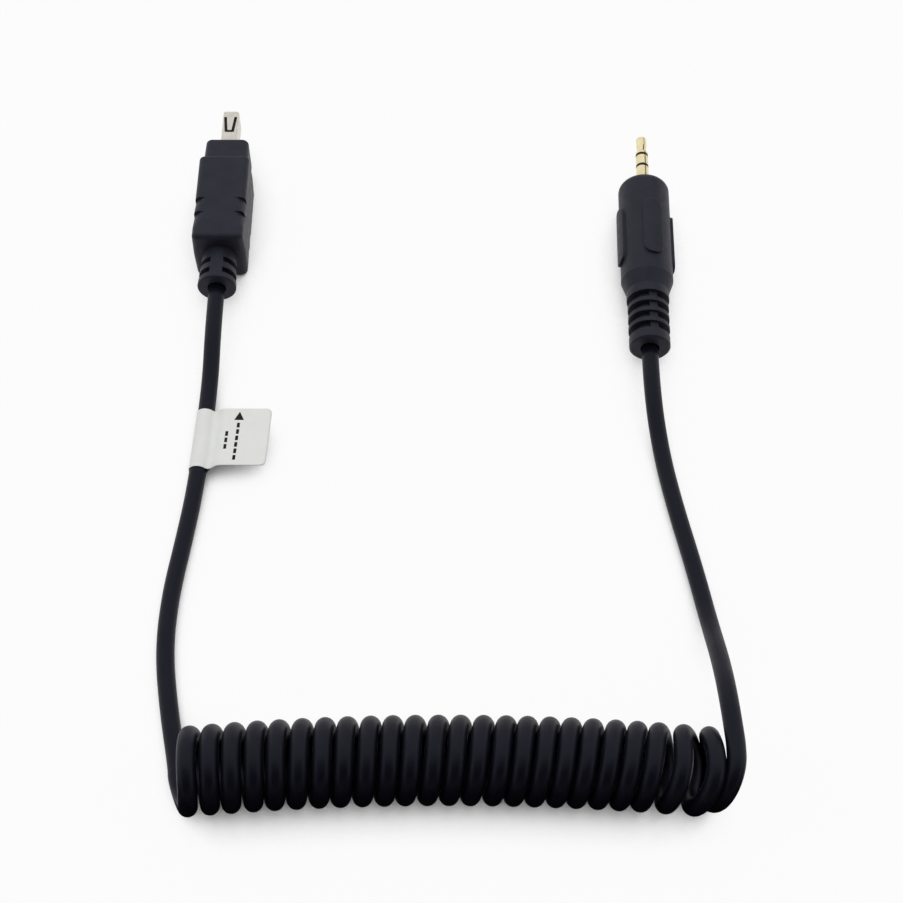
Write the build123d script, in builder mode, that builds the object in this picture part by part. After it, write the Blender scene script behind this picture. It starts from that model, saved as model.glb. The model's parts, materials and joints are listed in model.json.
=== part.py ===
"""Remote shutter lead: a camera plug and a 2.5 mm jack on the two ends of a curly cord.

Millimetres. The lead lies on a table at z = 0. +Z is up, +Y runs from the coil towards the
plug tips and +X from the camera plug to the jack. The origin is on the table, midway
between the outer sides of the two plugs and midway along the pair of them.
Each plug has an axis of its own. Its stations are distances along that axis, counted from
the free end of its strain relief towards the tip of the plug.
"""
import math
import os

from build123d import *

os.makedirs("parts", exist_ok=True)

# ---------------------------------------------------------------- driving dimensions

# Cord: a round jacket over three insulated cores that lie side by side
cord_diameter = 3.1
core_diameter = 0.9
core_spacing = 1.0
bore_gap = 0.1                  # cord to the bore of a strain relief, on the radius
table_gap = 0.05                # free cord above the table

# Places of the two plugs
camera_x = -41.8
camera_tip_y = 29.1
jack_x = 40.6
jack_end_y = -29.4
jack_yaw = 1.6                  # degrees that the jack points away from +Y, towards +X
jack_roll = 12.0                # degrees that the jack has rolled on its axis

# Camera plug: metal shell with a spring lance in its top and bottom walls
shell_width = 3.2
shell_height = 5.4
shell_wall = 0.3
shell_corner = 0.6
shell_reach = 9.2               # stands out of the collar
shell_root = 5.6                # held in the collar
lance_length = 4.2
lance_root_width = 1.55
lance_tip_width = 0.8
lance_cut = 0.55                # width of the cut round the lance
lance_corner = 0.25
lance_setback = 1.5             # from the mouth of the shell to the lance's root

# Camera plug: insulator and its contacts
insulator_gap = 0.05
insulator_behind = 1.0          # stands out behind the shell
insulator_setback = 0.6         # from the mouth of the shell
slot_width = 1.2                # of the slot that takes the socket's tongue
slot_height = 3.9
slot_depth = 7.5
contact_count = 4
contact_spacing = 0.8
contact_width = 0.5
contact_thickness = 0.25
contact_proud = 0.1             # contact above the wall of the slot
contact_setback = 0.6           # from the front of the insulator to the contact's end
contact_tail = 1.8              # contact behind the insulator

# Camera plug: mouldings
collar_width = 8.9
collar_height = 9.2
collar_taper = 2.0              # degrees on each side, narrower towards the tip
collar_corner = 1.5
collar_edge = 0.5
collar_length = 6.0
plug_width = 10.2               # at the parting line, half way up
plug_height = 12.0
plug_length = 21.2
plug_draft = 1.8                # degrees, on the two sides
plug_long_edge = 1.1
plug_front_edge = 0.6
plug_rear_edge = 1.0
inner_width = 7.4
inner_height = 8.6
inner_corner = 1.0
scallop_edge = 2.5              # rounding of a long edge at the step of a grip scallop
scallop_spacing = 3.6
scallop_count = 2
scallop_setback = 11.1          # from the front face of the body to the first scallop
camera_relief_length = 7.9
camera_relief_root = 8.6        # diameters of the strain relief at its two ends
camera_relief_end = 7.5
relief_embed = 1.2              # of the strain relief in the rounded rear of the body
camera_slots = 2
camera_slot_width = 1.3
camera_rib_width = 1.35
camera_slot_floor = 5.0
camera_spine = 2.4

# Jack: the nested contacts of a 2.5 mm three-pole plug
pin_diameter = 2.5
pin_length = 11.2
tip_length = 4.55
tip_bulb = 2.1                  # diameters of the tip at its bulb, waist and blunt end
tip_waist = 1.65
tip_end = 1.5
tip_nose_length = 0.5
tip_bulb_length = 1.7
tip_waist_station = 3.5         # from the end of the tip
tip_flare_length = 0.5
band_width = 0.65
ring_length = 2.3
rod_diameter = 0.7
tip_tube_diameter = 1.1         # insulating tube on the rod
ring_tube_diameter = 1.5        # contact tube on that
ring_sleeve_diameter = 1.9      # insulating tube in the sleeve
stub_diameter = 3.3             # collar of the sleeve, in front of the moulding
stub_length = 2.0
flange_diameter = 5.6
flange_thickness = 1.2
flange_depth = 1.0              # from the front face of the moulding to the flange

# Jack: terminals behind the flange
lug_diameter = 4.4
lug_thickness = 0.5
washer_diameter = 4.8
washer_thickness = 1.2
tail_width = 1.1
tail_thickness = 0.4
tail_reach = 2.6                # behind the last lug
outer_tail_radius = 2.45        # from the axis to the inner side of an outer tail
tip_tail_radius = 1.45

# Jack: mouldings
jack_body_diameter = 10.05
jack_body_length = 29.36        # from the strain relief to the front face
jack_shoulder = 1.8
jack_neck_diameter = 8.15
jack_neck_length = 1.9
jack_heel_length = 2.9          # the body narrows to its neck
jack_inner_diameter = 7.4
pad_reach = 5.55                # from the axis to the face of a grip pad
pad_length = 13.7
pad_width = 3.9
pad_setback = 7.5               # from the front face of the moulding to a pad
pad_count = 4
pad_edge = 0.15
jack_rib_diameter = 7.85
jack_end_ring_diameter = 7.75
jack_end_ring_length = 2.3
jack_slots = 4
jack_slot_width = 1.55
jack_rib_width = 0.9
jack_slot_floor = 5.4
jack_spine = 1.5
jack_spine_reach = 3.35         # from the axis to the top of the spine between the ribs

# Both plugs: the cord's end in the moulding, its clamp and the solder joints
camera_core_length = 10.55      # bare of the jacket, up to the solder joints
jack_core_length = 10.2
clamp_wall = 0.5
clamp_length = 3.0
clamp_setback = 0.6             # from the cut end of the jacket to the clamp
clamp_cover = 0.8               # of the inner moulding behind the clamp
solder_length = 1.4
solder_width = 0.6
solder_setback = 0.2            # from the end of a contact's tail to the joint
mouth_diameter = 3.6            # countersink where the cord enters a strain relief
mouth_depth = 0.3
rim = 0.35                      # rounding of the strain reliefs' free ends

# Flag label: wrapped round the cord, its two ends stuck together as a flag
label_length = 12.6
label_shift = 1.2               # from the middle of the run towards the coil
label_rise = 9.0                # degrees that the flag points up from the table
label_reach = 12.7              # from the cord's axis to the edge of the flag
label_thickness = 0.15
label_gap = 0.05
label_corner = 0.9

# Coil: full turns round an axis that bends forward at both ends, then a loose half turn
coil_turns = 24
coil_advance = 3.57
coil_radius = 5.7               # to the middle of the cord
coil_start_x = -40.0
coil_middle_x = 2.3
coil_middle_y = -113.75
coil_bow = 2.0                  # forward bend at coil_half from the middle
coil_half = 42.0
last_advance = 3.0              # of the loose half turn, along the coil
last_slope = -3.0               # its rate at the end, as an advance per half turn
coil_lead_in = 10.7             # last run of the camera side, in line with the coil's end
coil_lead_out = 8.2             # first run of the jack side, in line with the coil's end
jack_lead = 9.2                 # run in line with the jack

# ---------------------------------------------------------------- derived places

cord_radius = cord_diameter / 2
pin_radius = pin_diameter / 2

camera_front = camera_relief_length + plug_length
camera_collar_front = camera_front + collar_length
camera_tip = camera_collar_front + shell_reach
camera_end_y = camera_tip_y - camera_tip
camera_z = plug_height / 2
insulator_rear = camera_collar_front - shell_root - insulator_behind
insulator_front = camera_tip - insulator_setback
contact_rear = insulator_rear - contact_tail
contact_side = slot_width / 2 - contact_proud
camera_solder = contact_rear + solder_setback
camera_tail_end = camera_solder - camera_core_length
camera_clamp_rear = camera_tail_end - clamp_setback - clamp_length
camera_inner_rear = camera_clamp_rear - clamp_cover

jack_step = jack_slot_width + jack_rib_width
jack_relief_length = jack_end_ring_length + jack_slots * jack_step - jack_rib_width
jack_front = jack_relief_length + jack_body_length
pin_root = jack_front + stub_length
jack_tip_end = pin_root + pin_length
tip_band = jack_tip_end - tip_length - band_width
ring_rear = tip_band - ring_length
ring_band = ring_rear - band_width
flange_front = jack_front - flange_depth
flange_rear = flange_front - flange_thickness
ring_lug_rear = flange_rear - washer_thickness - lug_thickness
tip_lug_rear = ring_lug_rear - washer_thickness - lug_thickness
jack_tails_end = tip_lug_rear - tail_reach
jack_solder = jack_tails_end + solder_setback
jack_tail_end = jack_solder - jack_core_length
jack_clamp_rear = jack_tail_end - clamp_setback - clamp_length
jack_inner_rear = jack_clamp_rear - clamp_cover
jack_z = pad_reach

cord_rest_z = cord_radius + table_gap
label_rest_z = cord_rest_z + label_gap + label_thickness


# ---------------------------------------------------------------- shared construction


def plug_plane(x, y, z, yaw=0.0, roll=0.0):
    """Plane across a plug's axis at its cord end: the normal points at the plug's tip."""
    turn = math.radians(yaw)
    lean = math.radians(roll)
    side = (-math.cos(turn) * math.cos(lean), math.sin(turn) * math.cos(lean), math.sin(lean))
    return Plane(origin=(x, y, z), x_dir=side, z_dir=(math.sin(turn), math.cos(turn), 0))


camera = plug_plane(camera_x, camera_end_y, camera_z)
jack = plug_plane(jack_x, jack_end_y, jack_z, jack_yaw, jack_roll)
jack_axis = Axis(jack.origin, jack.z_dir)
jack_profile = Plane(origin=jack.origin, x_dir=jack.z_dir, z_dir=jack.x_dir)


def cylinder(plug, start, length, diameter, bore=0.0, mode=Mode.ADD):
    """Round piece on a plug's axis, from one station forward, with an optional bore."""
    with BuildSketch(plug.offset(start)) as section:
        Circle(diameter / 2)
        if bore:
            Circle(bore / 2, mode=Mode.SUBTRACT)
    extrude(section.sketch, amount=length, mode=mode)


def off_jack_axis(edge):
    """Distance of an edge's middle from the jack's axis."""
    return (edge @ 0.5 - jack.origin).cross(jack.z_dir).length


def relief_slots(plug, first, count, width, step, floor, reach, spine, spine_reach):
    """Slots across a strain relief, cut down to a round floor but not through its spine."""
    for slot in range(count):
        with BuildSketch(plug.offset(first + slot * step)) as section:
            Circle(reach)
            Circle(floor / 2, mode=Mode.SUBTRACT)
            Rectangle(spine, 2 * spine_reach, mode=Mode.SUBTRACT)
        extrude(section.sketch, amount=width, mode=Mode.SUBTRACT)


def cord_entry(plug, depth):
    """Bore of a strain relief with a countersunk mouth at its free end."""
    bore = cord_diameter + 2 * bore_gap
    cylinder(plug, 0, depth, bore, mode=Mode.SUBTRACT)
    with BuildSketch(plug) as section:
        Circle(mouth_diameter / 2)
    flare = math.degrees(math.atan((mouth_diameter - bore) / 2 / mouth_depth))
    extrude(section.sketch, amount=mouth_depth, taper=flare, mode=Mode.SUBTRACT)


def plug_section(station, edge):
    """Section of the camera plug's body, with its four long edges rounded."""
    top_half = plug_width / 2 - plug_height / 2 * math.tan(math.radians(plug_draft))
    with BuildSketch(camera.offset(station)) as section:
        Polygon(
            (-plug_width / 2, 0),
            (-top_half, plug_height / 2),
            (top_half, plug_height / 2),
            (plug_width / 2, 0),
            (top_half, -plug_height / 2),
            (-top_half, -plug_height / 2),
            align=None,
        )
        corners = section.vertices().group_by(Axis.Y)
        fillet(corners[0] + corners[-1], edge)
    return section.sketch


def inner_block(mode=Mode.ADD):
    """The camera plug's inner moulding where its outer moulding hides it."""
    with BuildSketch(camera.offset(camera_inner_rear)) as section:
        RectangleRounded(inner_width, inner_height, inner_corner)
    extrude(section.sketch, amount=camera_front - camera_inner_rear, mode=mode)


def corner_radii(points):
    """For each corner of a route, the largest arc that its two runs leave room for."""
    radii = []
    for before, corner, after in zip(points, points[1:], points[2:]):
        arriving = Vector(*corner) - Vector(*before)
        leaving = Vector(*after) - Vector(*corner)
        half_turn = math.radians(arriving.get_angle(leaving)) / 2
        radii.append(0.45 * min(arriving.length, leaving.length) / math.tan(half_turn))
    return radii


def report_tube(name, solid, length):
    """Print how far a tube's volume is from its section times its length."""
    expected = math.pi * cord_radius**2 * length
    print(f"{name}: length {length:.1f}, volume over section times length {solid.volume / expected:.5f}")


# ---------------------------------------------------------------- camera plug

with BuildPart() as camera_plug_shell:
    with BuildSketch(camera.offset(camera_collar_front - shell_root)):
        RectangleRounded(shell_width, shell_height, shell_corner)
        RectangleRounded(
            shell_width - 2 * shell_wall,
            shell_height - 2 * shell_wall,
            shell_corner - shell_wall,
            mode=Mode.SUBTRACT,
        )
    extrude(amount=shell_root + shell_reach)
    lance_end = camera_tip_y - lance_setback - lance_length
    with BuildSketch(Plane(origin=(camera_x, lance_end, camera_z))):
        Polygon(
            (-lance_root_width / 2 - lance_cut, lance_length),
            (-lance_tip_width / 2 - lance_cut, 0),
            (lance_tip_width / 2 + lance_cut, 0),
            (lance_root_width / 2 + lance_cut, lance_length),
            align=None,
        )
        Polygon(
            (-lance_root_width / 2, lance_length),
            (-lance_tip_width / 2, lance_cut),
            (lance_tip_width / 2, lance_cut),
            (lance_root_width / 2, lance_length),
            align=None,
            mode=Mode.SUBTRACT,
        )
        lance_tips = vertices().group_by(Axis.Y)
        fillet(lance_tips[0] + lance_tips[1], lance_corner)
    extrude(amount=shell_height, both=True, mode=Mode.SUBTRACT)

with BuildPart() as camera_plug_contacts:
    with BuildSketch(camera.offset(contact_rear)):
        with Locations((contact_side + contact_thickness / 2, 0)):
            with GridLocations(0, contact_spacing, 1, contact_count):
                Rectangle(contact_thickness, contact_width)
    extrude(amount=insulator_front - contact_setback - contact_rear)

with BuildPart() as camera_plug_insulator:
    with BuildSketch(camera.offset(insulator_rear)):
        inner_gap = 2 * (shell_wall + insulator_gap)
        RectangleRounded(
            shell_width - inner_gap,
            shell_height - inner_gap,
            shell_corner - shell_wall,
        )
    extrude(amount=insulator_front - insulator_rear)
    with BuildSketch(camera.offset(insulator_front - slot_depth)):
        Rectangle(slot_width, slot_height)
    extrude(amount=slot_depth, mode=Mode.SUBTRACT)
    add(camera_plug_contacts.part, mode=Mode.SUBTRACT)

with BuildPart() as camera_focus_core:
    with BuildSketch(camera.offset(camera_tail_end)):
        with Locations((0, core_spacing)):
            Circle(core_diameter / 2)
    extrude(amount=camera_core_length)

with BuildPart() as camera_ground_core:
    cylinder(camera, camera_tail_end, camera_core_length, core_diameter)

with BuildPart() as camera_shutter_core:
    with BuildSketch(camera.offset(camera_tail_end)):
        with Locations((0, -core_spacing)):
            Circle(core_diameter / 2)
    extrude(amount=camera_core_length)

with BuildPart() as camera_solder_joints:
    with BuildSketch(camera.offset(camera_solder)):
        with Locations((contact_side - solder_width / 2, 0)):
            with GridLocations(0, core_spacing, 1, 3):
                Rectangle(solder_width, solder_width)
    extrude(amount=solder_length)

with BuildPart() as camera_cord_tail:
    cylinder(camera, 0, camera_tail_end, cord_diameter)

with BuildPart() as camera_cord_clamp:
    clamp_diameter = cord_diameter + 2 * clamp_wall
    cylinder(camera, camera_clamp_rear, clamp_length, clamp_diameter, cord_diameter)

with BuildPart() as camera_plug_inner_mould:
    with BuildSketch(camera.offset(camera_front)):
        RectangleRounded(collar_width, collar_height, collar_corner)
    extrude(amount=collar_length, taper=collar_taper)
    fillet(faces().sort_by(Axis.Y)[-1].edges(), collar_edge)
    inner_block()
    for held in (
        camera_plug_shell,
        camera_plug_contacts,
        camera_plug_insulator,
        camera_focus_core,
        camera_ground_core,
        camera_shutter_core,
        camera_solder_joints,
        camera_cord_tail,
        camera_cord_clamp,
    ):
        add(held.part, mode=Mode.SUBTRACT)
    # the mould's plastic doesn't enter the shell
    with BuildSketch(camera.offset(camera_collar_front - shell_root)):
        RectangleRounded(shell_width, shell_height, shell_corner)
    extrude(amount=shell_root, mode=Mode.SUBTRACT)

with BuildPart() as camera_plug_body:
    # grip scallops: a long edge that is more rounded at a step facing the cord, then runs out
    scallop_end = camera_front - scallop_setback - scallop_count * scallop_spacing
    rear_section = plug_section(camera_relief_length, plug_long_edge)
    extrude(rear_section, amount=scallop_end - camera_relief_length)
    for scallop in range(scallop_count):
        run_out = scallop_end + scallop * scallop_spacing
        step = run_out + scallop_spacing
        loft([plug_section(run_out, plug_long_edge), plug_section(step, scallop_edge)], ruled=True)
    front_section = plug_section(camera_front - scallop_setback, plug_long_edge)
    extrude(front_section, amount=scallop_setback)
    fillet(faces().sort_by(Axis.Y)[0].edges(), plug_rear_edge)
    fillet(faces().sort_by(Axis.Y)[-1].edges(), plug_front_edge)
    with BuildSketch(camera):
        Circle(camera_relief_end / 2)
    relief_reach = camera_relief_length + relief_embed
    relief_flare = math.degrees(math.atan((camera_relief_end - camera_relief_root) / 2 / relief_reach))
    extrude(amount=relief_reach, taper=-relief_flare)
    fillet(faces().sort_by(Axis.Y)[0].edges(), rim)
    relief_slots(
        camera,
        camera_rib_width,
        camera_slots,
        camera_slot_width,
        camera_slot_width + camera_rib_width,
        camera_slot_floor,
        camera_relief_root,
        camera_spine,
        camera_relief_root,
    )
    cord_entry(camera, camera_relief_length)
    inner_block(Mode.SUBTRACT)
    add(camera_cord_tail.part, mode=Mode.SUBTRACT)

# ---------------------------------------------------------------- jack

with BuildPart() as jack_tip:
    with BuildSketch(jack_profile):
        with BuildLine():
            nose = ThreePointArc(
                (jack_tip_end, tip_end / 2),
                (jack_tip_end - 0.25 * tip_nose_length, (tip_end + 2 * tip_bulb) / 6),
                (jack_tip_end - tip_nose_length, tip_bulb / 2),
            )
            Polyline(
                nose @ 1,
                (jack_tip_end - tip_nose_length - tip_bulb_length, tip_bulb / 2),
                (jack_tip_end - tip_waist_station, tip_waist / 2),
                (jack_tip_end - tip_length + tip_flare_length, pin_radius),
                (jack_tip_end - tip_length, pin_radius),
                (jack_tip_end - tip_length, 0),
                (jack_tip_end, 0),
                nose @ 0,
            )
        make_face()
    revolve(axis=jack_axis)
    cylinder(jack, tip_lug_rear, jack_tip_end - tip_length - tip_lug_rear, rod_diameter)

with BuildPart() as jack_tip_insulator:
    cylinder(jack, tip_band, band_width, pin_diameter, rod_diameter)
    tip_tube_rear = ring_lug_rear - washer_thickness
    cylinder(jack, tip_tube_rear, tip_band - tip_tube_rear, tip_tube_diameter, rod_diameter)

with BuildPart() as jack_ring:
    cylinder(jack, ring_rear, ring_length, pin_diameter, tip_tube_diameter)
    cylinder(jack, ring_lug_rear, ring_rear - ring_lug_rear, ring_tube_diameter, tip_tube_diameter)

with BuildPart() as jack_ring_insulator:
    cylinder(jack, ring_band, band_width, pin_diameter, ring_tube_diameter)
    ring_sleeve_rear = flange_rear - washer_thickness
    ring_sleeve_length = ring_band - ring_sleeve_rear
    cylinder(jack, ring_sleeve_rear, ring_sleeve_length, ring_sleeve_diameter, ring_tube_diameter)

with BuildPart() as jack_sleeve:
    cylinder(jack, pin_root, ring_band - pin_root, pin_diameter)
    cylinder(jack, flange_front, pin_root - flange_front, stub_diameter)
    cylinder(jack, flange_rear, flange_thickness, flange_diameter)
    with BuildSketch(jack.offset(jack_tails_end)):
        with Locations((0, -outer_tail_radius - tail_thickness / 2)):
            Rectangle(tail_width, tail_thickness)
    extrude(amount=flange_rear - jack_tails_end)
    cylinder(jack, flange_rear, ring_band - flange_rear, ring_sleeve_diameter, mode=Mode.SUBTRACT)

with BuildPart() as jack_ring_lug:
    outer_tail_reach = outer_tail_radius + tail_thickness
    with BuildSketch(jack.offset(ring_lug_rear)):
        Circle(lug_diameter / 2)
        with Locations((outer_tail_reach / 2, 0)):
            Rectangle(outer_tail_reach, tail_width)
        Circle(ring_tube_diameter / 2, mode=Mode.SUBTRACT)
    extrude(amount=lug_thickness)
    with BuildSketch(jack.offset(jack_tails_end)):
        with Locations((outer_tail_radius + tail_thickness / 2, 0)):
            Rectangle(tail_thickness, tail_width)
    extrude(amount=ring_lug_rear - jack_tails_end)

with BuildPart() as jack_tip_lug:
    cylinder(jack, tip_lug_rear, lug_thickness, lug_diameter, rod_diameter)
    with BuildSketch(jack.offset(jack_tails_end)):
        with Locations((-tip_tail_radius - tail_thickness / 2, 0)):
            Rectangle(tail_thickness, tail_width)
    extrude(amount=tip_lug_rear - jack_tails_end)

with BuildPart() as jack_lug_washers:
    ring_lug_front = ring_lug_rear + lug_thickness
    tip_lug_front = tip_lug_rear + lug_thickness
    cylinder(jack, ring_lug_front, washer_thickness, washer_diameter, ring_sleeve_diameter)
    cylinder(jack, tip_lug_front, washer_thickness, washer_diameter, tip_tube_diameter)

with BuildPart() as jack_ring_core:
    with BuildSketch(jack.offset(jack_tail_end)):
        with Locations((core_spacing, 0)):
            Circle(core_diameter / 2)
    extrude(amount=jack_core_length)

with BuildPart() as jack_sleeve_core:
    cylinder(jack, jack_tail_end, jack_core_length, core_diameter)

with BuildPart() as jack_tip_core:
    with BuildSketch(jack.offset(jack_tail_end)):
        with Locations((-core_spacing, 0)):
            Circle(core_diameter / 2)
    extrude(amount=jack_core_length)

with BuildPart() as jack_solder_joints:
    ring_joint = outer_tail_radius - core_spacing + solder_width / 2
    tip_joint = tip_tail_radius - core_spacing + solder_width / 2
    sleeve_joint = outer_tail_radius + solder_width / 2
    with BuildSketch(jack.offset(jack_solder)):
        with Locations((outer_tail_radius - ring_joint / 2, 0)):
            Rectangle(ring_joint, solder_width)
        with Locations((tip_joint / 2 - tip_tail_radius, 0)):
            Rectangle(tip_joint, solder_width)
        with Locations((0, sleeve_joint / 2 - outer_tail_radius)):
            Rectangle(solder_width, sleeve_joint)
    extrude(amount=solder_length)

with BuildPart() as jack_cord_tail:
    cylinder(jack, 0, jack_tail_end, cord_diameter)

with BuildPart() as jack_cord_clamp:
    cylinder(jack, jack_clamp_rear, clamp_length, clamp_diameter, cord_diameter)

with BuildPart() as jack_inner_mould:
    jack_inner_length = flange_front - jack_inner_rear
    cylinder(jack, jack_inner_rear, jack_inner_length, jack_inner_diameter)
    for held in (
        jack_tip,
        jack_tip_insulator,
        jack_ring,
        jack_ring_insulator,
        jack_sleeve,
        jack_ring_lug,
        jack_tip_lug,
        jack_lug_washers,
        jack_ring_core,
        jack_sleeve_core,
        jack_tip_core,
        jack_solder_joints,
        jack_cord_tail,
        jack_cord_clamp,
    ):
        add(held.part, mode=Mode.SUBTRACT)

with BuildPart() as jack_grip_pads:
    pad_middle = jack_front - pad_setback - pad_length / 2
    pad_centre = jack.offset(pad_middle).origin
    for pad in range(pad_count):
        angle = math.radians(360 * pad / pad_count)
        outward = jack.x_dir * math.cos(angle) + jack.y_dir * math.sin(angle)
        with BuildSketch(Plane(origin=pad_centre, x_dir=jack.z_dir, z_dir=outward)):
            SlotOverall(pad_length, pad_width)
        extrude(amount=jack_body_diameter)
    cylinder(jack, pad_middle - pad_length, 2 * pad_length, 2 * pad_reach, mode=Mode.INTERSECT)
    fillet(edges().filter_by(lambda edge: abs(off_jack_axis(edge) - pad_reach) < 0.001), pad_edge)

with BuildPart() as jack_body:
    rib_radius = jack_rib_diameter / 2
    end_radius = jack_end_ring_diameter / 2
    body_radius = jack_body_diameter / 2
    neck_radius = jack_neck_diameter / 2
    neck_end = jack_relief_length + jack_neck_length
    heel_front = neck_end + jack_heel_length
    with BuildSketch(jack_profile):
        with BuildLine():
            Polyline(
                (0, 0),
                (0, end_radius - rim),
                (rim, end_radius),
                (jack_end_ring_length, end_radius),
                (jack_end_ring_length, rib_radius),
                (jack_relief_length, rib_radius),
                (jack_relief_length, neck_radius),
                (neck_end, neck_radius),
                (heel_front, body_radius),
                (jack_front - jack_shoulder, body_radius),
            )
            TangentArc(
                (jack_front - jack_shoulder, body_radius),
                (jack_front, body_radius - jack_shoulder),
                tangent=(1, 0),
            )
            Polyline((jack_front, body_radius - jack_shoulder), (jack_front, 0), (0, 0))
        make_face()
    revolve(axis=jack_axis)
    relief_slots(
        jack,
        jack_end_ring_length,
        jack_slots,
        jack_slot_width,
        jack_step,
        jack_slot_floor,
        jack_rib_diameter,
        jack_spine,
        jack_spine_reach,
    )
    add(jack_grip_pads.part)
    cord_entry(jack, jack_relief_length)
    cylinder(jack, jack_inner_rear, jack_inner_length, jack_inner_diameter, mode=Mode.SUBTRACT)
    cylinder(jack, flange_front, flange_depth, stub_diameter, mode=Mode.SUBTRACT)
    add(jack_cord_tail.part, mode=Mode.SUBTRACT)

# ---------------------------------------------------------------- coil


def axis_place(x):
    """Place and forward slope of the coil's bent axis at x."""
    share = (x - coil_middle_x) / coil_half
    return coil_middle_y - coil_bow * share**2, -2 * coil_bow * share / coil_half


def along_coil(turn):
    """How far along X the cord has gone after a number of turns."""
    if turn <= coil_turns:
        return coil_start_x + coil_advance * turn
    share = 2 * (turn - coil_turns)
    start_slope = coil_advance / 2
    rise = last_advance * (3 * share**2 - 2 * share**3)
    rise += start_slope * (share**3 - 2 * share**2 + share)
    rise += last_slope * (share**3 - share**2)
    return coil_start_x + coil_advance * coil_turns + rise


def coil_point(turn):
    """Middle of the cord: it leaves the table forward, rises and comes back over the top."""
    angle = math.tau * turn
    x = along_coil(turn)
    y, slope = axis_place(x)
    across = Vector(-slope, 1, 0).normalized()
    centre = Vector(x, y, cord_radius + coil_radius)
    return centre - across * coil_radius * math.sin(angle) - Vector(0, 0, coil_radius) * math.cos(angle)


def coil_direction(turn):
    """Unit vector along the cord."""
    reach = 1e-4
    return (coil_point(turn + reach) - coil_point(turn - reach)).normalized()


def biarc(start, leaving, end, arriving):
    """Two arcs that join two points and keep both directions."""
    chord = end - start
    both = leaving + arriving
    square = 2 * (1 - leaving.dot(arriving))
    middle = chord.dot(both)
    reach = (math.sqrt(middle**2 + square * chord.dot(chord)) - middle) / square
    first = start + leaving * reach
    second = end - arriving * reach
    joint = (first + second) / 2
    TangentArc(start, joint, tangent=leaving)
    TangentArc(joint, end, tangent=second - first)


coil_end = coil_turns + 0.5
coil_entry_direction = coil_direction(0)
coil_exit_direction = coil_direction(coil_end)
coil_entry = coil_point(0) - coil_entry_direction * cord_diameter
coil_exit = coil_point(coil_end) + coil_exit_direction * cord_diameter

with BuildPart() as curly_cord:
    with BuildLine() as coil_path:
        Line(coil_entry, coil_point(0))
        for half in range(2 * coil_turns + 1):
            begin = half / 2
            finish = begin + 0.5
            biarc(coil_point(begin), coil_direction(begin), coil_point(finish), coil_direction(finish))
        Line(coil_point(coil_end), coil_exit)
    with BuildSketch(Plane(origin=coil_entry, z_dir=coil_entry_direction)):
        Circle(cord_radius)
    sweep(path=coil_path.wire())

# ---------------------------------------------------------------- free stretches of cord

camera_route = [
    (camera_x, camera_end_y, camera_z),
    (camera_x, -24.9, camera_z),
    (-42.0, -35.95, label_rest_z),
    (-42.9, -57.95, label_rest_z),
    (-44.2, -69.45, cord_rest_z),
    (-45.55, -79.95, cord_rest_z),
    (-45.65, -90.75, cord_rest_z),
    tuple(coil_entry - coil_entry_direction * coil_lead_in),
    tuple(coil_entry),
]

jack_route = [
    tuple(jack.origin),
    tuple(jack.offset(-jack_lead).origin),
    (41.65, -49.95, cord_rest_z),
    (43.6, -61.95, cord_rest_z),
    (46.05, -74.45, cord_rest_z),
    (47.8, -85.95, 2.2),
    (48.15, -96.55, 8.8),
    tuple(coil_exit + coil_exit_direction * coil_lead_out),
    tuple(coil_exit),
]

with BuildPart() as camera_side_cord:
    camera_radii = corner_radii(camera_route)
    with BuildLine() as camera_path:
        FilletPolyline(*camera_route, radius=camera_radii)
    with BuildSketch(Plane(origin=camera_route[0], z_dir=(0, -1, 0))):
        Circle(cord_radius)
    sweep(path=camera_path.wire())

with BuildPart() as jack_side_cord:
    jack_radii = corner_radii(jack_route)
    with BuildLine() as jack_path:
        FilletPolyline(*jack_route, radius=jack_radii)
    with BuildSketch(Plane(origin=jack_route[0], z_dir=-jack.z_dir)):
        Circle(cord_radius)
    sweep(path=jack_path.wire())

# ---------------------------------------------------------------- flag label

with BuildPart() as cord_label:
    run_start = Vector(*camera_route[2])
    run_end = Vector(*camera_route[3])
    run = (run_end - run_start).normalized()
    label_start = (run_start + run_end) / 2 + run * (label_shift - label_length / 2)
    label_radius = cord_radius + label_gap
    with BuildSketch(Plane(origin=label_start, z_dir=run)):
        Circle(label_radius + label_thickness)
        Circle(label_radius, mode=Mode.SUBTRACT)
    extrude(amount=label_length)
    flag_inner = label_radius + label_thickness / 2
    flag_width = label_reach - flag_inner
    label_middle = label_start + run * label_length / 2
    flag_plane = Plane(origin=label_middle, x_dir=run, z_dir=(0, 0, 1)).rotated((label_rise, 0, 0))
    with BuildSketch(flag_plane):
        with Locations((0, flag_inner + flag_width / 2)):
            flag = Rectangle(label_length, flag_width)
        fillet(flag.vertices().group_by(Axis.Y)[-1], label_corner)
    extrude(amount=label_thickness, both=True)

# ---------------------------------------------------------------- checks and files

coil_steps = 48
coil_samples = [coil_point(step / coil_steps) for step in range(int(coil_end * coil_steps) + 1)]
least_gap = min(
    (coil_samples[i] - coil_samples[j]).length - cord_diameter
    for i in range(len(coil_samples))
    for j in range(i + coil_steps // 2, min(i + 2 * coil_steps, len(coil_samples)))
)
print(f"coil: least gap to itself {least_gap:.3f}")
print("camera side radii:", " ".join(f"{radius:.1f}" for radius in camera_radii))
print("jack side radii:", " ".join(f"{radius:.1f}" for radius in jack_radii))
report_tube("curly_cord", curly_cord.part, coil_path.wire().length)
report_tube("camera_side_cord", camera_side_cord.part, camera_path.wire().length)
report_tube("jack_side_cord", jack_side_cord.part, jack_path.wire().length)

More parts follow.
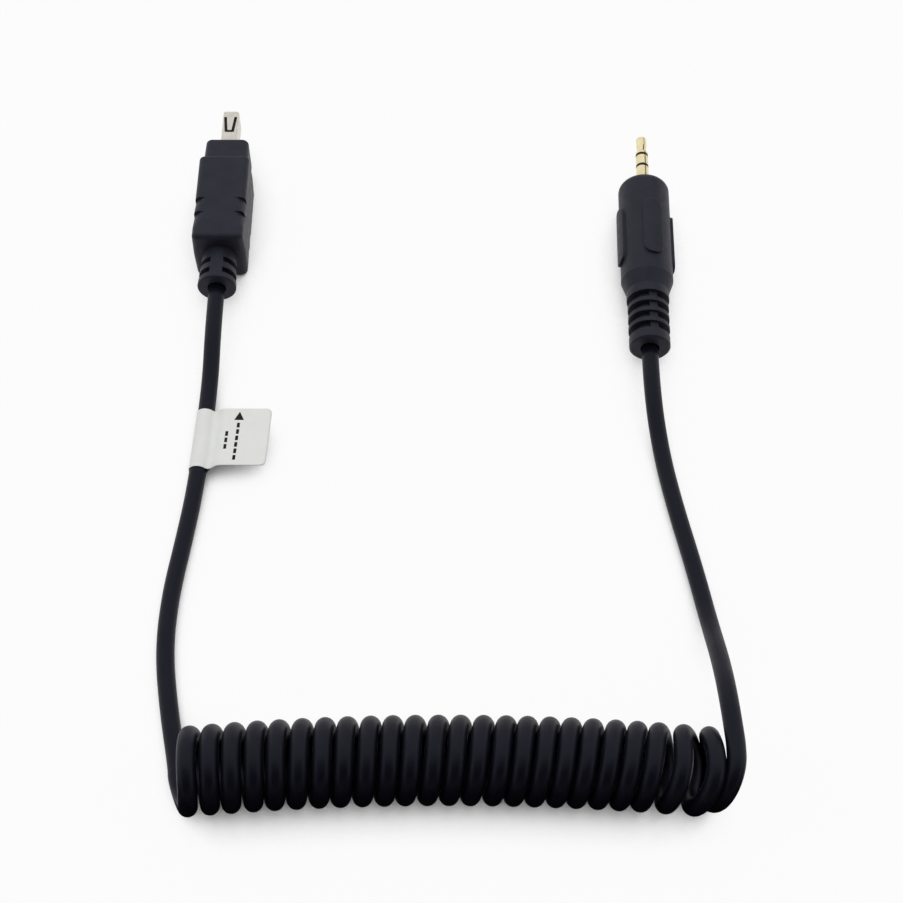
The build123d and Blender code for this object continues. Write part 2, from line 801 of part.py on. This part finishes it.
pieces = {
    "camera_plug_shell": camera_plug_shell,
    "camera_plug_contacts": camera_plug_contacts,
    "camera_plug_insulator": camera_plug_insulator,
    "camera_focus_core": camera_focus_core,
    "camera_ground_core": camera_ground_core,
    "camera_shutter_core": camera_shutter_core,
    "camera_solder_joints": camera_solder_joints,
    "camera_cord_tail": camera_cord_tail,
    "camera_cord_clamp": camera_cord_clamp,
    "camera_plug_inner_mould": camera_plug_inner_mould,
    "camera_plug_body": camera_plug_body,
    "jack_tip": jack_tip,
    "jack_tip_insulator": jack_tip_insulator,
    "jack_ring": jack_ring,
    "jack_ring_insulator": jack_ring_insulator,
    "jack_sleeve": jack_sleeve,
    "jack_ring_lug": jack_ring_lug,
    "jack_tip_lug": jack_tip_lug,
    "jack_lug_washers": jack_lug_washers,
    "jack_ring_core": jack_ring_core,
    "jack_sleeve_core": jack_sleeve_core,
    "jack_tip_core": jack_tip_core,
    "jack_solder_joints": jack_solder_joints,
    "jack_cord_tail": jack_cord_tail,
    "jack_cord_clamp": jack_cord_clamp,
    "jack_inner_mould": jack_inner_mould,
    "jack_body": jack_body,
    "curly_cord": curly_cord,
    "camera_side_cord": camera_side_cord,
    "jack_side_cord": jack_side_cord,
    "cord_label": cord_label,
}
for name, piece in pieces.items():
    piece.part.label = name
    export_step(piece.part, f"parts/{name}.step")
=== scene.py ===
"""Looks of the remote shutter lead: a camera plug and a jack on the ends of a curly cord.

Metres, in the frame of the CAD model: +X from the camera plug to the jack, +Y from the coil
towards the plug tips, +Z up. The lead lies on the floor at z = 0.
"""
import json
import math

import bpy
import numpy as np
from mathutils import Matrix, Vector


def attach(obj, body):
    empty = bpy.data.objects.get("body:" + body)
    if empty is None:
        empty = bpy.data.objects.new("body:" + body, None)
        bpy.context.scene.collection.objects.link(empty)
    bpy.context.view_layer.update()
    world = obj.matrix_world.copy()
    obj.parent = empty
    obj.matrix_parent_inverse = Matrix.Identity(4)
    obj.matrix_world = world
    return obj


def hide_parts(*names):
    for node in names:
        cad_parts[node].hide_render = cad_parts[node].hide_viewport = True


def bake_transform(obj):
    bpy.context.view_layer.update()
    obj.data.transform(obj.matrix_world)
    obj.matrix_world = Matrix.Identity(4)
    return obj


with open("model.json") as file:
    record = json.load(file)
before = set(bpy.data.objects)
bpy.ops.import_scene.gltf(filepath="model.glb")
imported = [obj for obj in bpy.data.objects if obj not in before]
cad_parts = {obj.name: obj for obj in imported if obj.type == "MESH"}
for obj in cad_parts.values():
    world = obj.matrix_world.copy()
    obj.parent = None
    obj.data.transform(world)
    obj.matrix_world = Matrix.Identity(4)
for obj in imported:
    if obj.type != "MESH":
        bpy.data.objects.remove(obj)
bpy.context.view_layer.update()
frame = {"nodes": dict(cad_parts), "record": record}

scene = bpy.context.scene
nodes = frame["nodes"]
MM = 0.001

# ---------------------------------------------------------------- camera

VIEW_ELEVATION = math.radians(56)
VIEW_DISTANCE = 331 * MM
VIEW_TARGET = Vector((3.3 * MM, -48.95 * MM, 0))


def make_camera():
    data = bpy.data.cameras.new("camera")
    data.sensor_width = 36
    data.lens = 71.56
    data.clip_start = 0.01
    camera = bpy.data.objects.new("camera", data)
    scene.collection.objects.link(camera)
    back = Vector((0, -math.cos(VIEW_ELEVATION), math.sin(VIEW_ELEVATION)))
    camera.location = VIEW_TARGET + back * VIEW_DISTANCE
    camera.rotation_euler = (math.pi / 2 - VIEW_ELEVATION, 0, 0)
    scene.camera = camera


# ---------------------------------------------------------------- cord

CORD_DIAMETER = 3.15 * MM
CORD_RADIUS = CORD_DIAMETER / 2
CORD_SIDES = 20

# Control points from the camera plug to the coil and from the coil to the jack. They were
# chosen and adjusted, and those beside the coil began as its own end and tangent.
CAMERA_ROUTE = [
    (-0.0418, -0.0152, 0.0060),
    (-0.0418, -0.0249, 0.0060),
    (-0.0420, -0.03595, 0.0018),
    (-0.0429, -0.05795, 0.0018),
    (-0.0442, -0.06945, 0.0016),
    (-0.04555, -0.07995, 0.0016),
    (-0.04575, -0.09075, 0.0016),
    (-0.04405, -0.1016, 0.0016),
    (-0.04165, -0.1124, 0.0016),
]
JACK_ROUTE = [
    (0.0483, -0.1124, 0.01295),
    (0.04785, -0.10491, 0.01295),
    (0.04785, -0.09655, 0.0088),
    (0.0476, -0.08595, 0.0022),
    (0.0459, -0.07445, 0.0016),
    (0.04345, -0.06195, 0.0016),
    (0.04165, -0.04995, 0.0016),
    (0.04034, -0.0386, 0.00555),
    (0.0406, -0.0294, 0.00555),
]

COIL_TURNS = 24.5
COIL_STEPS = 12                 # control points in a turn
COIL_RADIUS = 5.7 * MM          # to the middle of the cord
COIL_START = -40.35 * MM
COIL_ADVANCE = 3.535 * MM
COIL_MIDDLE = Vector((2.3 * MM, -113.75 * MM))
COIL_BOW = 2.0 * MM
COIL_HALF = 42.0 * MM
LOOP_YAW = 1.9                  # how far the turns swing round, as a share of the coil's bend
LAST_ADVANCE = 3.9 * MM
LAST_SLOPE = -3.0 * MM
LAST_LIFT = 1.0 * MM            # the last turn runs back towards the plugs

# Angles round a turn, from the floor forwards, of what the camera sees of it
SEEN_TOP = math.radians(236)
SEEN_FRONT = math.radians(150)
SEEN_BACK = math.radians(320)


def eased(value, start, end):
    """0 up to the start, 1 from the end on, and a smooth rise between them."""
    share = min(max((value - start) / (end - start), 0), 1)
    return share**2 * (3 - 2 * share)


def near_angle(turn, angle, sharpness):
    """1 where the cord passes that angle round a turn, and 0 opposite it."""
    return ((1 + math.cos(math.tau * turn - angle)) / 2) ** sharpness


def coil_drift(turn):
    """How far along X the cord is from an even coil: the turns crowd towards the jack.

    Near its jack end the cord cuts up to 0.53 mm into itself.
    """
    crowding = min(max((turn - 8) / 14.5, 0), 1)
    wander = 0.05 * MM * math.sin(2.3 * turn) + 0.05 * MM * math.sin(0.9 * turn + 1)
    fading = min(max(turn / 2, 0), (COIL_TURNS - turn) / 2, 1)
    first = 0.7 * MM * (1 - eased(turn, -0.05, 0.22))
    over_top = near_angle(turn, SEEN_TOP, 3)
    # the last turns swing out towards the jack, less at their tops
    swing = 0.13 * MM * max(min(turn, 23.4) - 20.4, 0) ** 2 * (1 - 0.7 * over_top)
    swing *= 1 - eased(turn, 23.75, 24.15)
    # the front legs lean towards the jack
    lean = 0.65 * eased(turn, 1, 16) + 2.2 * eased(turn, 21.6, 23.4)
    lean *= MM * near_angle(turn, SEEN_FRONT, 2) * (1 - eased(turn, 23.6, 24))
    # the back legs fill the gaps between the front legs
    fill = 0.9 * eased(turn, 6, 16)
    fill += 1.1 * eased(turn, 21.2, 22.8) * (1 - eased(turn, 23.2, 23.6))
    fill *= MM * near_angle(turn, SEEN_BACK, 2) * (1 - eased(turn, 23.95, 24.1))
    # the top of the turn before the last is tucked back
    tuck = 0.7 * MM * over_top * eased(turn, 21, 22.6) * (1 - eased(turn, 22.9, 23.3))
    crowd = 0.9 * MM * crowding**2 * (1 - eased(turn, 23.8, 24))
    return wander * fading - first + swing + lean + fill - tuck - crowd


def coil_advance(turn):
    """How far along X the cord's middle is after a number of turns."""
    full = COIL_TURNS - 0.5
    if turn <= full:
        return COIL_START + COIL_ADVANCE * turn + coil_drift(turn)
    share = 2 * (turn - full)
    rise = LAST_ADVANCE * (3 * share**2 - 2 * share**3)
    rise += COIL_ADVANCE / 2 * (share**3 - 2 * share**2 + share)
    rise += LAST_SLOPE * (share**3 - share**2)
    return COIL_START + COIL_ADVANCE * full + rise + coil_drift(turn)


def coil_point(turn, radius):
    """A point at that radius from the coil's bent axis: the cord leaves the floor forwards."""
    angle = math.tau * turn
    x = coil_advance(turn)
    share = (x - COIL_MIDDLE.x) / COIL_HALF
    slope = -2 * COIL_BOW * share / COIL_HALF
    across = Vector((-LOOP_YAW * slope, 1, 0)).normalized()
    back = LAST_LIFT * eased(turn, 23.75, 24.25)
    centre = Vector((x, COIL_MIDDLE.y - COIL_BOW * share**2 + back, CORD_RADIUS + COIL_RADIUS))
    return centre - across * radius * math.sin(angle) - Vector((0, 0, radius)) * math.cos(angle)


def coil_controls():
    """Control points of the coil. Each lies outside the arc that the spline makes of it."""
    outside = COIL_RADIUS / math.cos(math.pi / COIL_STEPS)
    count = round(COIL_TURNS * COIL_STEPS)
    return [coil_point((step + 0.5) / COIL_STEPS, outside) for step in range(-1, count + 1)]


def spline_points(controls, resolution):
    """Points along the NURBS spline of order 3 with those control points."""
    curve = bpy.data.curves.new("route", "CURVE")
    curve.dimensions = "3D"
    spline = curve.splines.new("NURBS")
    spline.points.add(len(controls) - 1)
    for point, place in zip(spline.points, controls):
        point.co = (*place, 1)
    spline.order_u = 3
    spline.use_endpoint_u = True
    spline.resolution_u = resolution
    holder = bpy.data.objects.new("route", curve)
    scene.collection.objects.link(holder)
    bpy.context.view_layer.update()
    mesh = bpy.data.meshes.new_from_object(holder)
    points = [vertex.co.copy() for vertex in mesh.vertices]
    bpy.data.objects.remove(holder)
    bpy.data.curves.remove(curve)
    bpy.data.meshes.remove(mesh)
    return points


def frames_along(points):
    """For each point the direction and a side vector that turns as little as it can."""
    found = []
    side = Vector((0, 0, 1))
    for before, after in zip([points[0], *points], [*points[1:], points[-1]]):
        forward = (after - before).normalized()
        side = (side - forward * side.dot(forward)).normalized()
        found.append((forward, side))
    return found


def new_object(name, vertices, faces, material, smooth=True):
    mesh = bpy.data.meshes.new(name)
    mesh.from_pydata([tuple(v) for v in vertices], [], faces)
    mesh.validate()
    mesh.update()
    if smooth:
        mesh.shade_smooth()
    mesh.materials.append(material)
    made = bpy.data.objects.new(name, mesh)
    scene.collection.objects.link(made)
    return made


def tube(name, points, radius, sides, material):
    """Closed tube along the points, with flat ends."""
    vertices = []
    for point, (forward, side) in zip(points, frames_along(points)):
        other = forward.cross(side)
        for corner in range(sides):
            angle = math.tau * corner / sides
            vertices.append(point + (side * math.cos(angle) + other * math.sin(angle)) * radius)
    faces = [tuple(reversed(range(sides)))]
    for ring in range(len(points) - 1):
        for corner in range(sides):
            a = ring * sides + corner
            b = ring * sides + (corner + 1) % sides
            faces.append((a, b, b + sides, a + sides))
    last = (len(points) - 1) * sides
    faces.append(tuple(last + corner for corner in range(sides)))
    return new_object(name, vertices, faces, material)


def make_cord(material):
    controls = [Vector(p) for p in CAMERA_ROUTE] + coil_controls() + [Vector(p) for p in JACK_ROUTE]
    points = spline_points(controls, 8)
    cord = tube("whole_cord", points, CORD_RADIUS, CORD_SIDES, material)
    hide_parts("camera_side_cord", "curly_cord", "jack_side_cord")
    return cord, points


def stretch_with_joint(cord, points):
    """Bakes the cord's placement into its mesh and returns the length along its middle."""
    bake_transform(cord)
    length = np.cumsum([0.0] + [(b - a).length for a, b in zip(points, points[1:])])
    coil_start = coil_point(0, COIL_RADIUS)
    coil_end = coil_point(COIL_TURNS, COIL_RADIUS)
    return length[-1]


# ---------------------------------------------------------------- flag label

LABEL_MIDDLE_Y = -48.1 * MM
LABEL_LENGTH = 12.6 * MM        # along the cord
LABEL_REACH = 12.5 * MM         # from the cord's middle to the flag's far edge
LABEL_CORNER = 0.9 * MM
FILM = 0.11 * MM                # thickness of the film
FILM_GAP = 0.05 * MM            # film to the cord
FILM_PAIR = 0.53 * FILM         # from the middle of the two joined films to the middle of each
FILM_VALLEY = Vector((1.85, 0.75)) * MM
FILM_CREST = Vector((4.2, 2.05)) * MM
FLAG_RISE = math.radians(3.6)
FLAG_OUT = Vector((math.cos(FLAG_RISE), math.sin(FLAG_RISE)))
FLAG_UP = Vector((-FLAG_OUT.y, FLAG_OUT.x))


def curved(start, leaving, end, arriving, steps):
    """Points of a cubic curve between two points, with the first left out."""
    a = start + leaving
    b = end - arriving
    made = []
    for step in range(1, steps + 1):
        t = step / steps
        made.append(start * (1 - t) ** 3 + a * 3 * t * (1 - t) ** 2 + b * 3 * t * t * (1 - t) + end * t**3)
    return made


def beside(path, distance):
    """The path moved to its left by that distance."""
    moved = []
    for before, here, after in zip([path[0], *path], path, [*path[1:], path[-1]]):
        tangent = (after - before).normalized()
        moved.append(here + Vector((-tangent.y, tangent.x)) * distance)
    return moved


def film_path(reach):
    """The film's middle across the cord: along the flag, round the cord and back to its edge."""
    round_cord = CORD_RADIUS + FILM_GAP + FILM / 2

    def on_circle(degrees):
        angle = math.radians(degrees)
        return Vector((math.cos(angle), math.sin(angle))) * round_cord

    def along_circle(degrees):
        angle = math.radians(degrees)
        return Vector((-math.sin(angle), math.cos(angle)))

    rising = [FILM_VALLEY, *curved(FILM_VALLEY, Vector((0.9 * MM, 0)), FILM_CREST, FLAG_OUT * 1.3 * MM, 20)]
    length = (reach - FILM_CREST.x) / FLAG_OUT.x
    pair = rising + [FILM_CREST + FLAG_OUT * length * step / 20 for step in range(1, 21)]
    joined = 8                  # the point of the pair where the lower film meets the upper one
    top = beside(pair, FILM_PAIR)[::-1]
    over = curved(top[-1], Vector((-0.45 * MM, 0)), on_circle(50), along_circle(50) * 0.3 * MM, 10)
    turn = [on_circle(50 + (285 - 50) * step / 40) for step in range(1, 41)]
    bottom = beside(pair, -FILM_PAIR)[joined:]
    landing = (bottom[1] - bottom[0]).normalized()
    under = curved(turn[-1], along_circle(285) * 1.0 * MM, bottom[0], landing * 0.9 * MM, 14)
    return top + over + turn + under + bottom[1:]


def middle_at(points, y):
    """The cord's middle where the camera side passes that Y."""
    after = next(i for i, point in enumerate(points) if point.y < y)
    share = (points[after - 1].y - y) / (points[after - 1].y - points[after].y)
    return points[after - 1].lerp(points[after], share)


def label_frame(points):
    """Where the label sits: its middle, the way along the cord, to the side and up."""
    near_plug = middle_at(points, LABEL_MIDDLE_Y + LABEL_LENGTH / 2)
    near_coil = middle_at(points, LABEL_MIDDLE_Y - LABEL_LENGTH / 2)
    along = (near_coil - near_plug).normalized()
    side = Vector((0, 0, 1)).cross(along).normalized()
    return middle_at(points, LABEL_MIDDLE_Y), along, side, along.cross(side)


def cord_middle_at(points, origin, along, station):
    """The cord's middle at that distance along the label."""
    near = [p for p in points if p.x < 0 and abs((p - origin).dot(along) - station) < 3 * MM]

    def distance(point):
        return (point - origin).dot(along)

    before = max((p for p in near if distance(p) <= station), key=distance)
    after = min((p for p in near if distance(p) > station), key=distance)
    low = distance(before)
    high = distance(after)
    return before + (after - before) * ((station - low) / (high - low))


def label_reach_at(station):
    """The flag's far edge, which has rounded corners."""
    over = abs(station) - (LABEL_LENGTH / 2 - LABEL_CORNER)
    cut = LABEL_CORNER - math.sqrt(LABEL_CORNER**2 - over**2) if over > 0 else 0
    return LABEL_REACH - cut


def make_label(cord_points, film, ink):
    origin, along, side, up = label_frame(cord_points)
    half = LABEL_LENGTH / 2
    straight = [half - LABEL_CORNER - (LABEL_LENGTH - 2 * LABEL_CORNER) * i / 28 for i in range(29)]
    bends = [half - LABEL_CORNER * (1 - math.sin(math.radians(15 * i))) for i in range(1, 7)]
    stations = sorted(straight + bends + [-b for b in bends])

    def twist(reach, station):
        """The flag turns up a little more at its corners towards the coil."""
        return 0.2 * MM * eased(reach, 2 * MM, 5 * MM) * station / half

    rings = []
    for station in stations:
        path = film_path(label_reach_at(station))
        centre = cord_middle_at(cord_points, origin, along, station)
        faces_of_film = zip(beside(path, -FILM / 2), beside(path, FILM / 2))
        flats = [flat for pair in faces_of_film for flat in pair]
        rings.append([centre + side * flat.x + up * (flat.y + twist(flat.x, station)) for flat in flats])
    count = len(rings[0]) // 2
    vertices = [v for ring in rings for v in ring]
    width = 2 * count
    faces = []
    for row in range(len(rings) - 1):
        a, b = row * width, (row + 1) * width
        for k in range(count - 1):
            p, q = 2 * k, 2 * k + 2
            faces.append((a + p, b + p, b + q, a + q))
            faces.append((a + p + 1, a + q + 1, b + q + 1, b + p + 1))
        faces.append((a, a + 1, b + 1, b))
        faces.append((a + width - 2, b + width - 2, b + width - 1, a + width - 1))
    for row, flip in ((0, False), (len(rings) - 1, True)):
        a = row * width
        for k in range(count - 1):
            p, q = a + 2 * k, a + 2 * k + 2
            face = (p, q, q + 1, p + 1)
            faces.append(tuple(reversed(face)) if flip else face)
    label = new_object("flag_label", vertices, faces, film)
    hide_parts("cord_label")
    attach(label, "camera_side")

    def on_flag(station, reach, lift):
        centre = cord_middle_at(cord_points, origin, along, station)
        flat = FILM_CREST + FLAG_OUT * (reach - FILM_CREST.x) + FLAG_UP * (FILM_PAIR + FILM / 2 + lift)
        return centre + side * flat.x + up * (flat.y + twist(flat.x, station))

    # a plain arrowhead that points at the plug, and two rows of plain dashes, in millimetres
    outlines = [[(-5.6, 6.6), (-3.75, 7.5), (-3.75, 5.7)]]
    half_dash = 0.27
    for row, start, dashes in ((6.6, -3.1, 6), (4.65, -1.2, 3)):
        for dash in range(dashes):
            first = start + dash * 1.45
            last = first + 1.05
            near, far = row - half_dash, row + half_dash
            outlines.append([(first, near), (first, far), (last, far), (last, near)])
    vertices, faces = [], []
    for outline in outlines:
        base = len(vertices)
        sides = len(outline)
        for lift in (0.0, 0.02 * MM):
            vertices += [on_flag(station * MM, reach * MM, lift) for station, reach in outline]
        faces.append(tuple(base + sides + k for k in range(sides)))
        faces.append(tuple(base + k for k in reversed(range(sides))))
        for k in range(sides):
            after = (k + 1) % sides
            faces.append((base + k, base + after, base + sides + after, base + sides + k))
    marks = new_object("label_marks", vertices, faces, ink, smooth=False)
    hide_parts("cord_label")
    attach(marks, "camera_side")
    return label, marks


# ---------------------------------------------------------------- materials


def principled(name, color, metallic=0.0, roughness=0.5, specular=0.5):
    material = bpy.data.materials.new(name)
    material.use_nodes = True
    shader = material.node_tree.nodes["Principled BSDF"]
    shader.inputs["Base Color"].default_value = (*color, 1)
    shader.inputs["Metallic"].default_value = metallic
    shader.inputs["Roughness"].default_value = roughness
    shader.inputs["Specular IOR Level"].default_value = specular
    return material, shader


def noise(material, size, detail=2.0, stretch=(1, 1, 1)):
    """Noise in object space whose features are about that size, in metres."""
    tree = material.node_tree
    place = tree.nodes.new("ShaderNodeTexCoord")
    scale = tree.nodes.new("ShaderNodeMapping")
    scale.inputs["Scale"].default_value = [1 / (size * s) for s in stretch]
    texture = tree.nodes.new("ShaderNodeTexNoise")
    texture.inputs["Scale"].default_value = 1
    texture.inputs["Detail"].default_value = detail
    tree.links.new(place.outputs["Object"], scale.inputs["Vector"])
    tree.links.new(scale.outputs["Vector"], texture.inputs["Vector"])
    return texture.outputs["Fac"]


def vary(material, socket, source, low, high):
    """Feed a number socket from a texture, between two values."""
    span = material.node_tree.nodes.new("ShaderNodeMapRange")
    span.inputs["From Min"].default_value = 0.3
    span.inputs["From Max"].default_value = 0.7
    span.inputs["To Min"].default_value = low
    span.inputs["To Max"].default_value = high
    material.node_tree.links.new(source, span.inputs["Value"])
    material.node_tree.links.new(span.outputs["Result"], socket)


def tint(material, socket, source, dark, light):
    """Feed a colour socket from a texture, between two colours."""
    ramp = material.node_tree.nodes.new("ShaderNodeValToRGB")
    ramp.color_ramp.elements[0].position = 0.3
    ramp.color_ramp.elements[0].color = (*dark, 1)
    ramp.color_ramp.elements[1].position = 0.7
    ramp.color_ramp.elements[1].color = (*light, 1)
    material.node_tree.links.new(source, ramp.inputs["Fac"])
    material.node_tree.links.new(ramp.outputs["Color"], socket)


def bump(material, shader, source, depth, before=None):
    """Relief of that depth, in metres, over any relief that is already there."""
    relief = material.node_tree.nodes.new("ShaderNodeBump")
    relief.inputs["Strength"].default_value = 1
    relief.inputs["Distance"].default_value = depth
    material.node_tree.links.new(source, relief.inputs["Height"])
    if before:
        material.node_tree.links.new(before.outputs["Normal"], relief.inputs["Normal"])
    material.node_tree.links.new(relief.outputs["Normal"], shader.inputs["Normal"])
    return relief


def black_plastic(name, dark, light, roughness, specular, grain, depth):
    """Near-black PVC: fine moulded grain, faint cloudiness and uneven gloss."""
    material, shader = principled(name, light, roughness=roughness, specular=specular)
    cloud = noise(material, 4 * MM, detail=3)
    tint(material, shader.inputs["Base Color"], cloud, dark, light)
    shader.inputs["Specular Tint"].default_value = (0.82, 0.82, 1, 1)
    vary(material, shader.inputs["Roughness"], noise(material, 1.2 * MM), roughness - 0.05, roughness + 0.05)
    bump(material, shader, noise(material, grain, detail=3), depth)
    return material


def plated(name, dark, light, roughness, line):
    """Plated metal: fine drawn lines across its length and small changes of tone."""
    material, shader = principled(name, light, metallic=1, roughness=roughness)
    tint(material, shader.inputs["Base Color"], noise(material, 1.5 * MM, detail=3), dark, light)
    vary(material, shader.inputs["Roughness"], noise(material, 0.6 * MM), roughness - 0.05, roughness + 0.07)
    bump(material, shader, noise(material, line, stretch=(12, 1, 12)), 0.0012 * MM)
    return material


def plain_plastic(name, dark, light, roughness, specular=0.5):
    material, shader = principled(name, light, roughness=roughness, specular=specular)
    tint(material, shader.inputs["Base Color"], noise(material, 1.5 * MM, detail=3), dark, light)
    bump(material, shader, noise(material, 0.15 * MM), 0.004 * MM)
    return material


def label_film():
    """White film with a faint paper-like mottle and a satin face."""
    material, shader = principled("label_film", (0.86, 0.87, 0.84), roughness=0.38)
    mottle = noise(material, 2.5 * MM, detail=4)
    tint(material, shader.inputs["Base Color"], mottle, (0.93, 0.94, 0.91), (0.965, 0.975, 0.945))
    vary(material, shader.inputs["Roughness"], noise(material, 1 * MM), 0.32, 0.46)
    bump(material, shader, noise(material, 1.1 * MM, detail=3), 0.01 * MM)
    return material


make_camera()
jacket = black_plastic(
    "cord_jacket", (0.0025, 0.0025, 0.006), (0.004, 0.004, 0.009), 0.45, 0.21, 0.18 * MM, 0.004 * MM
)
moulding = black_plastic(
    "moulding", (0.014, 0.014, 0.021), (0.019, 0.019, 0.028), 0.5, 0.23, 0.12 * MM, 0.006 * MM
)
gold = plated("gold_plating", (0.74, 0.64, 0.38), (0.86, 0.76, 0.5), 0.16, 0.02 * MM)
nickel = plated("nickel_plating", (0.56, 0.53, 0.48), (0.66, 0.63, 0.575), 0.28, 0.05 * MM)
dark_plastic = plain_plastic("dark_plastic", (0.008, 0.006, 0.005), (0.014, 0.011, 0.009), 0.4, 0.2)
natural_plastic = plain_plastic("natural_plastic", (0.5, 0.48, 0.43), (0.62, 0.6, 0.54), 0.5)
brass = plated("plain_brass", (0.6, 0.44, 0.2), (0.74, 0.57, 0.3), 0.35, 0.05 * MM)
tin = plated("tin_plating", (0.5, 0.5, 0.5), (0.64, 0.64, 0.65), 0.4, 0.08 * MM)
red_core = plain_plastic("red_core", (0.4, 0.02, 0.02), (0.55, 0.04, 0.03), 0.4)
white_core = plain_plastic("white_core", (0.7, 0.7, 0.67), (0.8, 0.8, 0.78), 0.4)
yellow_core = plain_plastic("yellow_core", (0.62, 0.47, 0.03), (0.75, 0.6, 0.06), 0.4)
film = label_film()
ink = plain_plastic("label_ink", (0.008, 0.008, 0.008), (0.014, 0.014, 0.014), 0.5, 0.15)

FINISHES = {
    "plug_moulding": moulding,
    "cord_jacket": jacket,
    "contact_gold": gold,
    "shell_nickel": nickel,
    "insulator_black": dark_plastic,
    "inner_moulding": natural_plastic,
    "washer_natural": natural_plastic,
    "lug_brass": brass,
    "clamp_steel": tin,
    "solder": tin,
    "core_red": red_core,
    "core_white": white_core,
    "core_yellow": yellow_core,
    "label_white": film,
}
for part in frame["record"]["subparts"]:
    mesh = nodes[part["node"]].data
    mesh.materials.clear()
    mesh.materials.append(FINISHES[part["material_slot"]])

cord, cord_points = make_cord(jacket)
cord_length = stretch_with_joint(cord, cord_points)
print("cord length", round(cord_length, 4))
label, marks = make_label(cord_points, film, ink)

# ---------------------------------------------------------------- studio


def lamp(name, place, target, size, power):
    data = bpy.data.lights.new(name, "AREA")
    data.shape = "RECTANGLE"
    data.size, data.size_y = size
    data.energy = power
    holder = bpy.data.objects.new(name, data)
    scene.collection.objects.link(holder)
    holder.visible_glossy = False   # reflections show the white studio instead
    holder.location = place
    holder.rotation_euler = (Vector(target) - Vector(place)).to_track_quat("-Z", "Y").to_euler()


def seen_directly(tree):
    """1 for what the camera, a mirror or a glass shows, and 0 for light that only bounces."""
    rays = tree.nodes.new("ShaderNodeLightPath")
    total = rays.outputs["Is Camera Ray"]
    for kind in ("Is Glossy Ray", "Is Transmission Ray"):
        joined = tree.nodes.new("ShaderNodeMath")
        joined.operation = "MAXIMUM"
        tree.links.new(total, joined.inputs[0])
        tree.links.new(rays.outputs[kind], joined.inputs[1])
        total = joined.outputs["Value"]
    return total


def make_floor():
    """Pale floor that shows white and keeps its shadow, which is deepest inside the coil."""
    reach = 1.2
    material = bpy.data.materials.new("floor")
    material.use_nodes = True
    tree = material.node_tree
    tree.nodes.clear()
    lit = tree.nodes.new("ShaderNodeBsdfDiffuse")
    lit.inputs["Color"].default_value = (0.6, 0.6, 0.6, 1)
    crowded = tree.nodes.new("ShaderNodeAmbientOcclusion")
    crowded.samples = 6
    crowded.inputs["Distance"].default_value = 12 * MM
    open_share = tree.nodes.new("ShaderNodeMapRange")
    open_share.inputs["From Min"].default_value = 0.3
    open_share.inputs["From Max"].default_value = 0.55
    tree.links.new(crowded.outputs["AO"], open_share.inputs["Value"])
    white = tree.nodes.new("ShaderNodeEmission")
    share = tree.nodes.new("ShaderNodeMath")
    share.operation = "MULTIPLY"
    tree.links.new(open_share.outputs["Result"], share.inputs[1])
    white_share = tree.nodes.new("ShaderNodeMath")
    white_share.operation = "MULTIPLY"
    white_share.inputs[1].default_value = 0.95
    mix = tree.nodes.new("ShaderNodeMixShader")
    out = tree.nodes.new("ShaderNodeOutputMaterial")
    tree.links.new(seen_directly(tree), share.inputs[0])
    tree.links.new(share.outputs["Value"], white_share.inputs[0])
    tree.links.new(white_share.outputs["Value"], mix.inputs["Fac"])
    tree.links.new(lit.outputs["BSDF"], mix.inputs[1])
    tree.links.new(white.outputs["Emission"], mix.inputs[2])
    tree.links.new(mix.outputs["Shader"], out.inputs["Surface"])
    corners = [(-reach, -reach, 0), (reach, -reach, 0), (reach, reach, 0), (-reach, reach, 0)]
    floor = new_object("floor", corners, [(0, 1, 2, 3)], material, smooth=False)
    floor.location.z = -0.01 * MM


def make_world():
    """Soft grey light from all round, in front of a white background."""
    world = bpy.data.worlds.new("studio")
    world.use_nodes = True
    tree = world.node_tree
    background = tree.nodes["Background"]
    background.inputs["Color"].default_value = (1, 1, 1, 1)
    strength = tree.nodes.new("ShaderNodeMapRange")
    strength.inputs["To Min"].default_value = 0.22
    strength.inputs["To Max"].default_value = 1.0
    tree.links.new(seen_directly(tree), strength.inputs["Value"])
    tree.links.new(strength.outputs["Result"], background.inputs["Strength"])
    scene.world = world


def black_card(name, centre, target, width, height):
    """Black card beside the lamps, which only reflections show."""
    material, _ = principled(name, (0.01, 0.01, 0.01), roughness=0.9, specular=0)
    right, top = width / 2, height / 2
    corners = [(-right, -top, 0), (right, -top, 0), (right, top, 0), (-right, top, 0)]
    card = new_object(name, corners, [(0, 1, 2, 3)], material, smooth=False)
    card.location = centre
    card.rotation_euler = (Vector(target) - Vector(centre)).to_track_quat("-Z", "Y").to_euler()
    card.visible_camera = False
    card.visible_diffuse = False
    card.visible_transmission = False
    card.visible_shadow = False


make_floor()
make_world()
lamp("back_softbox", (0, 0.25, 0.55), (0, -0.05, 0), (0.9, 0.6), 2.1)
lamp("left_softbox", (-0.55, -0.1, 0.35), (0, -0.05, 0), (0.3, 0.4), 0.85)
lamp("right_softbox", (0.55, -0.1, 0.35), (0, -0.05, 0), (0.3, 0.4), 0.7)
black_card("camera_side_card", (0, -0.65, 0.4), (0, -0.1, 0), 1.6, 0.8)
# lies face down on the floor in front of the coil: a painted dark reflection of that floor, which the camera
# still sees white
black_card("front_card", (0, -0.309, 0.3 * MM), (0, -0.309, -1), 1.0, 0.382)
black_card("tip_card", (0.162, 0.118, 0.106), (0.042, 0.012, 0.0055), 0.055, 0.12)
scene.view_settings.view_transform = "Standard"
